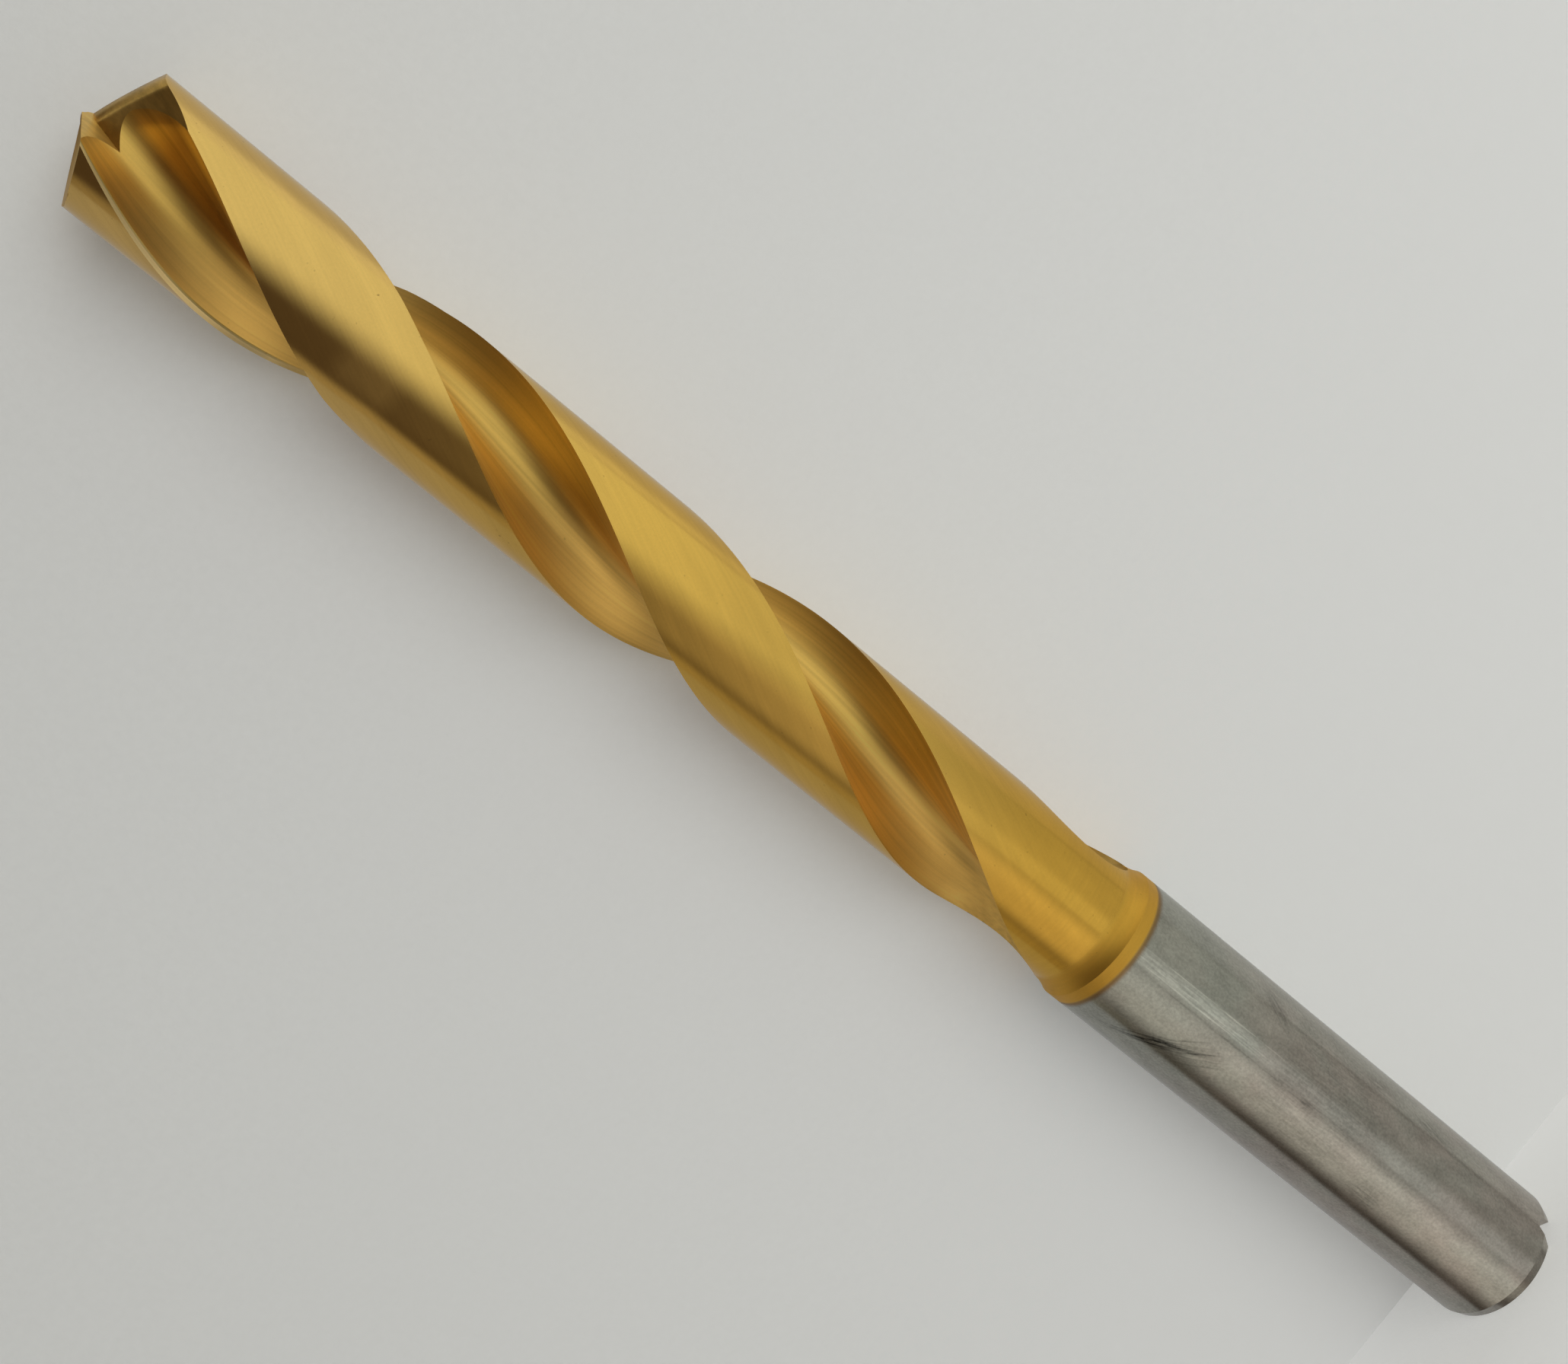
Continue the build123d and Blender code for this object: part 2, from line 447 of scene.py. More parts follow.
@dataclass
class DrillPoint:
    """The point: primary flanks, and a heel facet with a rounded, bowed crest behind each lip."""

    rod: GroundRod
    flute: Flute
    point_angle: float = 140.0
    primary_relief: float = 20.0
    heel_slope: float = 50.5
    crest_drop: float = 0.61
    crest_offset: float = 0.39
    crest_relief: float = 23.3
    crest_turn: float = 5.8
    crest_radius: float = 2.0
    crest_bow_radius: float = 38.0
    crest_sweep: float = 80.0
    sweep_steps: int = 80
    crest_points: int = 12
    gash_offset: float = 0.22
    gash_turn: float = 4.0

    @property
    def lip_fall(self) -> float:
        """Drop of the lip for each millimetre outwards."""
        return 1.0 / math.tan(math.radians(self.point_angle / 2))

    @property
    def primary_fall(self) -> float:
        """Drop of the primary flank for each millimetre behind the lip."""
        return math.tan(math.radians(self.primary_relief))

    @property
    def lip_top(self) -> float:
        """Height of the lip's line above the drill's centre."""
        return self.rod.overall_length + self.primary_fall * self.flute.lip_offset

    def grind_flanks(self, rod: Piece) -> None:
        """Cut the two primary flanks across the end of the rod.

        Args:
            rod: the blank whose top is cut.
        """
        for i in range(self.flute.count):
            frame = Bench.turn(self.flute.helix.lip_direction + 360.0 * i / self.flute.count)
            origin = frame @ Vector((0, self.flute.lip_offset * MM, self.lip_top * MM))
            normal = frame @ Vector((self.lip_fall, -self.primary_fall, 1.0))
            Bench.trim(rod, origin, normal.normalized())

    def bow_centre(self) -> Point2:
        """Y and Z of the centre of the crest's bow, which spans from the axis to the land."""
        radius = self.rod.cutting_radius
        drop = math.tan(math.radians(self.crest_relief)) * radius
        chord = math.hypot(radius, drop)
        depth = math.sqrt(self.crest_bow_radius**2 - (chord / 2) ** 2)
        return (
            depth * drop / chord - radius / 2,
            self.lip_top - self.crest_drop - drop / 2 - depth * radius / chord,
        )

    def roof(self) -> list[Point2]:
        """The heel cutter's section: heel slope, rounded crest and level side."""
        reach = self.rod.cutting_radius + self.flute.overcut
        slope = math.radians(self.heel_slope)
        tangent = self.crest_radius * math.tan(slope / 2)
        bow = self.crest_bow_radius
        start = self.crest_offset + tangent
        points = [(reach, bow)]
        for angle in evenly(0.0, slope, self.crest_points):
            x = start - self.crest_radius * math.sin(angle)
            points.append((x, bow - self.crest_radius * (1 - math.cos(angle))))
        points.append((-reach, bow - math.tan(slope) * (reach + self.crest_offset)))
        points += [(-reach, bow + reach), (reach, bow + reach)]
        return points[::-1]

    def build_heel_cutter(self) -> Piece:
        """Spin the heel cutter's section over the point, and trim it at the gash.

        Returns:
            The closed solid that is ground away behind the first lip.
        """
        centre_y, centre_z = self.bow_centre()
        centre = (0, centre_y * MM, centre_z * MM)
        cutter = Bench.outline("heel_cutter", self.roof(), 0.0)
        cutter.data.transform(Matrix.Translation(centre) @ Bench.turn(90, "X"))
        Bench.edit(cutter)
        sweep = math.radians(self.crest_sweep)
        for _ in range(self.sweep_steps):
            bpy.ops.mesh.extrude_region_move(TRANSFORM_OT_translate={"value": (0, 0, 0)})
            bpy.ops.transform.rotate(
                value=-sweep / self.sweep_steps, orient_axis="X", center_override=centre
            )
        Bench.close(cutter)
        cutter.data.transform(Bench.turn(-self.crest_turn))
        turn = math.radians(self.gash_turn)
        through = (0, -self.gash_offset * MM, 0)
        Bench.trim(cutter, through, (-math.sin(turn), math.cos(turn), 0))
        cutter.data.transform(Bench.turn(self.flute.helix.lip_direction))
        return cutter


@dataclass
class ShankSlot:
    """The tapered slot across the shank end."""

    direction: float = -41.0
    depth: float = 1.6
    mouth_width: float = 2.5
    floor_width: float = 0.88
    reach: float = 7.5
    overcut: float = 1.5

    def build_cutter(self) -> Piece:
        """Taper a block into the slot's cutter.

        Returns:
            The closed solid that the slot takes away.
        """
        mouth, floor = self.mouth_width / 2, self.floor_width / 2
        outline = [
            (-mouth, -self.overcut),
            (mouth, -self.overcut),
            (mouth, 0.0),
            (floor, self.depth),
            (-floor, self.depth),
            (-mouth, 0.0),
        ]
        cutter = Bench.outline("slot_cutter", outline, -self.reach)
        cutter.data.transform(Bench.turn(90) @ Bench.turn(90, "X"))
        Bench.edit(cutter)
        bpy.ops.mesh.extrude_region_move(
            TRANSFORM_OT_translate={"value": (-2 * self.reach * MM, 0, 0)}
        )
        ends = [vertex.co.x for vertex in bmesh.from_edit_mesh(cutter.data).verts]
        Bench.close(cutter)
        cutter.data.transform(Matrix.Translation((-(min(ends) + max(ends)) / 2, 0, 0)))
        cutter.data.transform(Bench.turn(self.direction))
        return cutter


# Finishes


class Ground(Enum):
    """The ways in which the drill's faces were ground; each has a material of its own."""

    ROUND = "coated_rod"
    FLUTE = "coated_flute"
    POINT = "coated_point"


@dataclass(frozen=True)
class GrindMarks:
    """The scatter and the streaks that one way of grinding leaves.

    The stretch is in streaks per millimetre along each axis of the untwisted section.
    """

    roughness: float
    anisotropic: float
    stretch: Point3
    tone: float
    depth: float


MARKS: dict[Ground, GrindMarks] = {
    Ground.ROUND: GrindMarks(0.155, 0.0, (4.5, 4.5, 0.05), 0.05, 0.0005),
    Ground.FLUTE: GrindMarks(0.285, 0.97, (3.6, 3.6, 0.04), 0.17, 0.0016),
    Ground.POINT: GrindMarks(0.31, 0.0, (0.5, 5.0, 0.0), 0.04, 0.0003),
}


@dataclass(frozen=True)
class GoldCoating:
    """The hard gold-coloured coating: paler on the head's lands, deeper towards the shank.

    Places are in millimetres, and waves are per millimetre along each axis.
    """

    pale: Colour = (0.97, 0.625, 0.198)
    colour: Colour = (0.96, 0.585, 0.130)
    deep: Colour = (0.93, 0.535, 0.086)
    pale_from: Point2 = (94.0, 124.0)
    flute_pale: float = 0.5
    deep_below: Point2 = (54.0, 72.0)
    patina: float = 0.05
    # A paler colour for the narrow edge land along the cutting edge: a painted highlight.
    edge_highlight_colour: Colour = (0.98, 0.73, 0.34)
    burnt: Colour = (0.26, 0.14, 0.05)
    flare_top: float = 49.4
    flare_scatter: float = 0.34
    # The flute's heel wall is darkened here: painted shade.
    heel_from: Point2 = (1.8, 4.2)
    heel_shade: float = 0.16
    # A darker, redder colour deep in the flutes near the point: painted shade.
    painted_flute_shade: Colour = (0.35, 0.13, 0.03)
    dusk_height: Point2 = (123.5, 137.5)
    dusk_height_softness: Point2 = (7.0, 3.0)
    dusk_beside: Point2 = (1.5, 5.0)
    dusk_beside_softness: Point2 = (0.8, 0.8)
    dusk_share: float = 0.6
    tone_waves: Point3 = (0.45, 0.45, 0.10)
    tone_steps: Point2 = (0.35, 0.65)
    worn: float = 0.03
    grain_waves: Point3 = (6.0, 6.0, 6.0)
    grain: float = 0.10
    pit_waves: Point3 = (2.3, 2.3, 2.3)
    pit_steps: Point2 = (0.76, 0.80)
    pit_depth: float = 0.18
    flare_fade: float = 1.0
    patch_radius: float = 5.55


@dataclass(frozen=True)
class GroundCarbide:
    """Bare ground carbide on the shank, with places and waves as for the coating."""

    colour: Colour = (0.485, 0.485, 0.43)
    warm: Colour = (0.53, 0.48, 0.43)
    cool_from: Point2 = (28.0, 40.0)
    cool_share: float = 0.8
    warm_share: Point2 = (0.4, 0.6)
    roughness: float = 0.17
    stained: float = 0.05
    stain_waves: Point3 = (0.28, 0.28, 0.16)
    stain_steps: Point2 = (0.36, 0.64)
    cloud_waves: Point3 = (0.8, 0.8, 0.35)
    cloud: float = 0.55
    grain_waves: Point3 = (4.5, 4.5, 4.0)
    grain: float = 0.65
    line_waves: Point3 = (7.0, 7.0, 0.10)
    line: float = 0.12
    ring_waves: Point3 = (0.4, 0.4, 7.0)
    ring_share: float = 0.5
    patch_radius: float = 6.0


@dataclass(frozen=True)
class MarkPattern:
    """How streaks, soft patches and the paper's grain are drawn, in waves per millimetre."""

    coarse_scale: float = 0.3
    coarse_share: float = 0.6
    streak_gain: float = 3.0
    streak_middle: float = -2.4
    patch_edge: Point2 = (1.0, 0.2)
    patch_waves: Point3 = (5.5, 0.35, 1.0)
    patch_steps: Point2 = (0.34, 0.60)
    paper_waves: Point3 = (1.6, 1.6, 1.6)
    paper_grain: float = 0.05


@dataclass(frozen=True)
class Patch:
    """One soft patch on the rod's surface, in millimetres.

    The middle and the reach are around the rod from the photographed side and up it. The
    lean turns the patch, in degrees, and a negative strength makes it lighter.
    """

    middle: Point2
    reach: Point2
    lean: float
    strength: float


SHANK_MARKS_AND_HIGHLIGHT: tuple[Patch, ...] = (
    Patch((-4.2, 40.2), (0.85, 4.6), -30.0, 0.62),
    Patch((-3.6, 38.6), (0.55, 4.2), -30.0, 0.34),
    Patch((-3.0, 37.2), (1.50, 4.8), -30.0, 0.26),
    Patch((-2.5, 38.4), (0.16, 3.4), -36.0, 0.30),
    Patch((-2.9, 37.1), (0.14, 3.8), -36.0, 0.34),
    Patch((-3.4, 35.8), (0.16, 3.2), -36.0, 0.26),
    Patch((4.9, 32.6), (1.00, 2.6), 36.0, 0.30),
    Patch((1.0, 25.5), (8.0, 8.0), 0.0, 0.16),
    Patch((0.0, 26.6), (0.40, 1.0), 0.0, 0.30),
    Patch((-5.9, 23.0), (0.60, 1.1), 0.0, 0.24),
    Patch((5.4, 14.9), (1.00, 2.8), 12.0, 0.36),
    Patch((5.5, 20.6), (1.10, 2.4), 0.0, 0.22),
    Patch((-3.0, 17.0), (1.10, 2.4), 0.0, 0.30),
    # A broad lighter band up the front of the shank: a painted highlight.
    Patch((0.85, 40.0), (1.05, 12.0), 0.0, -0.34),
    Patch((1.57, 37.0), (0.10, 14.0), 0.0, -0.50),
    Patch((0.79, 38.0), (0.12, 12.0), 0.0, -0.30),
    Patch((0.43, 39.0), (0.10, 10.0), 0.0, -0.40),
    Patch((-0.05, 36.0), (0.14, 14.0), 0.0, 0.26),
)
COATING_PATCHES: tuple[Patch, ...] = (
    Patch((3.15, 120.2), (0.10, 0.16), -40.0, 0.75),
    Patch((-5.50, 103.3), (0.12, 0.12), 0.0, 0.6),
    Patch((-5.50, 102.5), (0.10, 0.10), 0.0, 0.5),
    Patch((-2.6, 62.1), (0.10, 0.30), -30.0, 0.5),
    Patch((-2.9, 60.9), (0.10, 0.35), -30.0, -0.4),
)


class Wiring:
    """Adds nodes to one node tree and joins them."""

    def __init__(self, tree: Tree) -> None:
        """Keep the tree that the nodes go into."""
        self.tree = tree

    def node(self, kind: str, sources: Sources | None = None, **settings: object) -> bpy.types.Node:
        """Add a node, set its own properties and feed its inputs."""
        made = self.tree.nodes.new(kind)
        for name, value in settings.items():
            setattr(made, name, value)
        self.feed(made.inputs, sources or {})
        return made

    def feed(self, sockets: Sockets, sources: Sources) -> None:
        """Join sockets, by name or number, to others, or give them plain values."""
        for name, source in sources.items():
            if isinstance(source, Socket):
                self.tree.links.new(source, sockets[name])
            else:
                sockets[name].default_value = source

    def math(self, operation: str, *sources: object, clamp: bool = False) -> Socket:
        """A Math node's result."""
        inputs = dict(enumerate(sources))
        return self.node("ShaderNodeMath", inputs, operation=operation, use_clamp=clamp).outputs[0]

    def product(self, *sources: object) -> Socket:
        """Several numbers multiplied together."""
        total = sources[0]
        for source in sources[1:]:
            total = self.math("MULTIPLY", total, source)
        return total

    def swing(self, pattern: object, amount: float, level: object) -> Socket:
        """A level that a pattern between 0 and 1 raises and lowers about its middle."""
        return self.math("MULTIPLY_ADD", self.math("SUBTRACT", pattern, 0.5), amount, level)

    def bearing(self, across: object, away: object) -> Socket:
        """Angle about +Z from the photographed side, in radians."""
        return self.math("ARCTAN2", across, self.product(away, -1.0))

    def vector(self, operation: str, *sources: object) -> Socket:
        """A Vector Math node's vector."""
        inputs = dict(enumerate(sources))
        return self.node("ShaderNodeVectorMath", inputs, operation=operation).outputs[0]

    def measure(self, operation: str, *sources: object) -> Socket:
        """A Vector Math node's number."""
        inputs = dict(enumerate(sources))
        return self.node("ShaderNodeVectorMath", inputs, operation=operation).outputs["Value"]

    def scaled(self, vector: object, factor: object) -> Socket:
        """A vector or colour times one number."""
        inputs = {"Vector": vector, "Scale": factor}
        return self.node("ShaderNodeVectorMath", inputs, operation="SCALE").outputs[0]

    def turned(self, vector: object, angle: object) -> Socket:
        """A vector turned about +Z."""
        inputs = {"Vector": vector, "Angle": angle}
        return self.node("ShaderNodeVectorRotate", inputs, rotation_type="Z_AXIS").outputs[0]

    def join(self, *parts: object) -> Socket:
        """A vector made of its parts."""
        return self.node("ShaderNodeCombineXYZ", dict(enumerate(parts))).outputs[0]

    def split(self, vector: object) -> Sockets:
        """The three parts of a vector."""
        return self.node("ShaderNodeSeparateXYZ", {0: vector}).outputs

    def blend(self, factor: object, first: object, second: object) -> Socket:
        """A colour mixed between two."""
        inputs = {0: factor, 6: first, 7: second}
        return self.node("ShaderNodeMix", inputs, data_type="RGBA").outputs[2]

    def between(self, factor: object, first: object, second: object) -> Socket:
        """A number mixed between two."""
        inputs = {0: factor, 2: first, 3: second}
        return self.node("ShaderNodeMix", inputs, data_type="FLOAT").outputs[0]

    def mix(self, factor: object, first: object, second: object) -> Socket:
        """A shader mixed of two."""
        return self.node("ShaderNodeMixShader", {0: factor, 1: first, 2: second}).outputs[0]

    def bump(self, height: object) -> Socket:
        """The normal of a surface with a relief in millimetres."""
        return self.node("ShaderNodeBump", {"Distance": MM, "Height": height}).outputs[0]

    def ramp(self, source: object, low: float, high: float) -> Socket:
        """A smooth step from 0 at one value to 1 at another."""
        inputs = {0: source, 1: low, 2: high}
        return self.node("ShaderNodeMapRange", inputs, interpolation_type="SMOOTHSTEP").outputs[0]

    def band(self, source: object, limits: Point2, softness: Point2) -> Socket:
        """A soft-edged band: 1 between two limits, and half at each of them."""
        (low, high), (soft_low, soft_high) = limits, softness
        rising = self.ramp(source, low - soft_low / 2, low + soft_low / 2)
        falling = self.ramp(source, high + soft_high / 2, high - soft_high / 2)
        return self.product(rising, falling)

    def noise(self, place: object, stretch: object, detail: float = 2.0) -> Socket:
        """Noise between 0 and 1, with its own number of waves per unit along each axis."""
        stretched = self.vector("MULTIPLY", place, stretch)
        inputs = {"Vector": stretched, "Scale": 1.0, "Detail": detail}
        return self.node("ShaderNodeTexNoise", inputs).outputs[0]

    def use(self, group: Tree, **sources: object) -> Sockets:
        """Place a node group, feed its named inputs and give back its outputs."""
        inputs = {name.replace("_", " ").title(): source for name, source in sources.items()}
        return self.node("ShaderNodeGroup", inputs, node_tree=group).outputs


class Effects:
    """The node groups that the materials share, each built once."""

    KINDS = {0: "NodeSocketFloat", 3: "NodeSocketVector", 4: "NodeSocketColor"}

    def __init__(
        self,
        helix: Helix,
        gold: GoldCoating,
        carbide: GroundCarbide,
        pattern: MarkPattern = MarkPattern(),
    ) -> None:
        """Build every group.

        Args:
            helix: the screw line that the flute's streaks follow.
            gold: the coating's colours and wear.
            carbide: the bare shank's colours, roughness and stains.
            pattern: how streaks, patches and paper grain are drawn.
        """
        self.pattern = pattern
        self.frame = self.helical_frame(helix)
        self.streaks = self.grind_streaks()
        self.patch = self.soft_patch()
        self.gold = self.gold_look(gold)
        self.carbide = self.carbide_look(carbide)
        self.grain = self.paper_grain()

    def group(
        self, name: str, inputs: dict[str, object], outputs: dict[str, int]
    ) -> tuple[Wiring, Sockets, Sockets]:
        """Start a group with named sockets.

        Args:
            name: the group's name.
            inputs: the default value of each input.
            outputs: how many numbers each output has: 0 for a plain one.

        Returns:
            The group's wiring, what comes in and what goes out.
        """
        tree = bpy.data.node_groups.new(name, "ShaderNodeTree")
        for label, value in inputs.items():
            kind = self.KINDS[len(value) if isinstance(value, tuple) else 0]
            socket = tree.interface.new_socket(label, in_out="INPUT", socket_type=kind)
            socket.default_value = value
        for label, size in outputs.items():
            tree.interface.new_socket(label, in_out="OUTPUT", socket_type=self.KINDS[size])
        wiring = Wiring(tree)
        given = wiring.node("NodeGroupInput").outputs
        return wiring, given, wiring.node("NodeGroupOutput").inputs

    def helical_frame(self, helix: Helix) -> Tree:
        """The place in millimetres, and the same with the flutes' twist taken out."""
        wiring, given, out = self.group(
            "helical_frame", {"Place": (0.0, 0.0, 0.0)}, {"Millimetres": 3, "Section": 3}
        )
        place = wiring.scaled(given["Place"], 1 / MM)
        rate = math.tau / helix.lead
        start = math.radians(helix.lip_direction) - rate * helix.corner_height
        turn = wiring.math("MULTIPLY_ADD", wiring.split(place)[2], -rate, -start)
        wiring.feed(out, {"Millimetres": place, "Section": wiring.turned(place, turn)})
        return wiring.tree

    def grind_streaks(self) -> Tree:
        """Grinding streaks around 0: broad ones with finer ones between them."""
        wiring, given, out = self.group(
            "grind_streaks",
            {"Section": (0.0, 0.0, 0.0), "Stretch": (3.0, 3.0, 0.05)},
            {"Streaks": 0},
        )
        pattern = self.pattern
        broad = wiring.scaled(given["Stretch"], pattern.coarse_scale)
        fine = wiring.noise(given["Section"], given["Stretch"], 3.0)
        coarse = wiring.noise(given["Section"], broad, 1.0)
        both = wiring.math("ADD", fine, wiring.product(coarse, pattern.coarse_share))
        streaks = wiring.math("MULTIPLY_ADD", both, pattern.streak_gain, pattern.streak_middle)
        wiring.feed(out, {"Streaks": streaks})
        return wiring.tree

    def soft_patch(self) -> Tree:
        """A soft, leaning oval with streaks along it."""
        wiring, given, out = self.group(
            "soft_patch",
            {"Around": 0.0, "Height": 0.0, "Middle": (0.0, 0.0, 0.0),
             "Reach": (1.0, 1.0, 1.0), "Lean": 0.0},
            {"Mask": 0},
        )
        place = wiring.join(given["Around"], given["Height"])
        offset = wiring.vector("SUBTRACT", place, given["Middle"])
        leaning = wiring.turned(offset, given["Lean"])
        oval = wiring.measure("LENGTH", wiring.vector("DIVIDE", leaning, given["Reach"]))
        inside = wiring.ramp(oval, *self.pattern.patch_edge)
        grain = wiring.noise(leaning, self.pattern.patch_waves, 3.0)
        streaks = wiring.ramp(grain, *self.pattern.patch_steps)
        wiring.feed(out, {"Mask": wiring.product(inside, streaks)})
        return wiring.tree

    def patches(
        self, wiring: Wiring, millimetres: object, radius: float, patches: tuple[Patch, ...]
    ) -> Socket:
        """How much darker, or lighter where negative, a set of patches makes the rod.

        Args:
            wiring: the tree that the patches go into.
            millimetres: the place in millimetres.
            radius: the rod's radius where the patches are.
            patches: the patches to add up.

        Returns:
            The sum of the patches.
        """
        across, away, height = wiring.split(millimetres)
        around = wiring.product(wiring.bearing(across, away), radius)
        total: object = 0.0
        for patch in patches:
            mask = wiring.use(
                self.patch,
                around=around,
                height=height,
                middle=(*patch.middle, 0.0),
                reach=(*patch.reach, 1.0),
                lean=math.radians(patch.lean),
            )["Mask"]
            total = wiring.math("MULTIPLY_ADD", mask, patch.strength, total)
        return total

    def gold_look(self, gold: GoldCoating) -> Tree:
        """The coating: slow changes of tone, streaks, small pits and a painted highlight, a paler
        colour, on the narrow edge land.
        """
        wiring, given, out = self.group(
            "gold_look",
            {"Millimetres": (0.0, 0.0, 0.0), "Section": (0.0, 0.0, 0.0), "Streaks": 0.0,
             "Tone": 0.1, "Even": 0.0, "Edge": 0.0},
            {"Color": 4, "Roughness": 0},
        )
        place, section = given["Millimetres"], given["Section"]
        slow = wiring.ramp(wiring.noise(section, gold.tone_waves, 3.0), *gold.tone_steps)
        height = wiring.split(place)[2]
        near_shank = wiring.math("MAXIMUM", wiring.ramp(height, *gold.deep_below), given["Even"])
        near_point = wiring.ramp(height, *gold.pale_from)
        near_point = wiring.between(given["Even"], near_point, gold.flute_pale)
        colour = wiring.blend(near_shank, (*gold.deep, 1), (*gold.colour, 1))
        colour = wiring.blend(near_point, colour, (*gold.pale, 1))
        # Painted highlight: the narrow edge land is blended to a paler colour.
        colour = wiring.blend(given["Edge"], colour, (*gold.edge_highlight_colour, 1))
        beside = wiring.math("ABSOLUTE", wiring.split(section)[1])
        # Painted shade: darker towards the heel wall inside the flutes.
        heel = wiring.product(wiring.ramp(beside, *gold.heel_from), given["Even"])
        # Painted shade deep in the flutes near the point, darker and redder.
        deep = wiring.band(beside, gold.dusk_beside, gold.dusk_beside_softness)
        near_tip = wiring.band(height, gold.dusk_height, gold.dusk_height_softness)
        painted_flute_shade = wiring.product(near_tip, deep, given["Even"], gold.dusk_share)
        colour = wiring.blend(painted_flute_shade, colour, (*gold.painted_flute_shade, 1))
        speck = wiring.noise(place, gold.grain_waves, 2.0)
        pits = wiring.ramp(wiring.noise(place, gold.pit_waves, 1.0), *gold.pit_steps)
        level = wiring.math("MULTIPLY_ADD", given["Streaks"], given["Tone"], 1.0)
        for shade, amount in ((slow, gold.patina), (heel, gold.heel_shade)):
            level = wiring.math("MULTIPLY_ADD", shade, -amount, level)
        level = wiring.swing(speck, gold.grain, level)
        level = wiring.math("MULTIPLY_ADD", pits, -gold.pit_depth, level)
        marks = self.patches(wiring, place, gold.patch_radius, COATING_PATCHES)
        level = wiring.math("SUBTRACT", level, marks)
        flare = wiring.ramp(height, gold.flare_top, gold.flare_top - gold.flare_fade)
        worn = wiring.product(slow, gold.worn)
        dull = wiring.math("MULTIPLY_ADD", flare, gold.flare_scatter, worn)
        wiring.feed(out, {"Color": wiring.scaled(colour, level), "Roughness": dull})
        return wiring.tree

    def carbide_look(self, carbide: GroundCarbide) -> Tree:
        """Bare carbide: stains, grain, dark scratches, a painted highlight band and fine light
        lines up the shank.
        """
        wiring, given, out = self.group(
            "carbide_look",
            {"Millimetres": (0.0, 0.0, 0.0)},
            {"Color": 4, "Roughness": 0, "Height": 0},
        )
        place = given["Millimetres"]
        stains = wiring.ramp(wiring.noise(place, carbide.stain_waves, 3.0), *carbide.stain_steps)
        low = wiring.ramp(wiring.split(place)[2], *carbide.cool_from)
        least, more = carbide.warm_share
        warmth = wiring.math("MULTIPLY_ADD", stains, more, least)
        warmth = wiring.math("MULTIPLY_ADD", low, -carbide.cool_share, warmth, clamp=True)
        colour = wiring.blend(warmth, (*carbide.colour, 1), (*carbide.warm, 1))
        cloud = wiring.noise(place, carbide.cloud_waves, 3.0)
        grain = wiring.noise(place, carbide.grain_waves, 3.0)
        rings = wiring.noise(place, carbide.ring_waves, 2.0)
        lines = wiring.noise(place, carbide.line_waves, 2.0)
        level = wiring.swing(cloud, carbide.cloud, 1.0)
        level = wiring.swing(grain, carbide.grain, level)
        level = wiring.swing(lines, carbide.line, level)
        marks = self.patches(wiring, place, carbide.patch_radius, SHANK_MARKS_AND_HIGHLIGHT)
        level = wiring.math("SUBTRACT", level, marks)
        clean, dull = carbide.roughness, carbide.roughness + carbide.stained
        results = {
            "Color": wiring.scaled(colour, level),
            "Roughness": wiring.between(stains, clean, dull),
            "Height": wiring.math("MULTIPLY_ADD", rings, carbide.ring_share, lines),
        }
        wiring.feed(out, results)
        return wiring.tree

    def paper_grain(self) -> Tree:
        """The fine grain of plain paper."""
        wiring, given, out = self.group(
            "paper_grain",
            {"Place": (0.0, 0.0, 0.0), "Color": (0.8, 0.8, 0.8, 1.0)},
            {"Color": 4, "Height": 0},
        )
        place = wiring.scaled(given["Place"], 1 / MM)
        fine = wiring.noise(place, self.pattern.paper_waves, 3.0)
        level = wiring.swing(fine, self.pattern.paper_grain, 1.0)
        wiring.feed(out, {"Color": wiring.scaled(given["Color"], level), "Height": fine})
        return wiring.tree


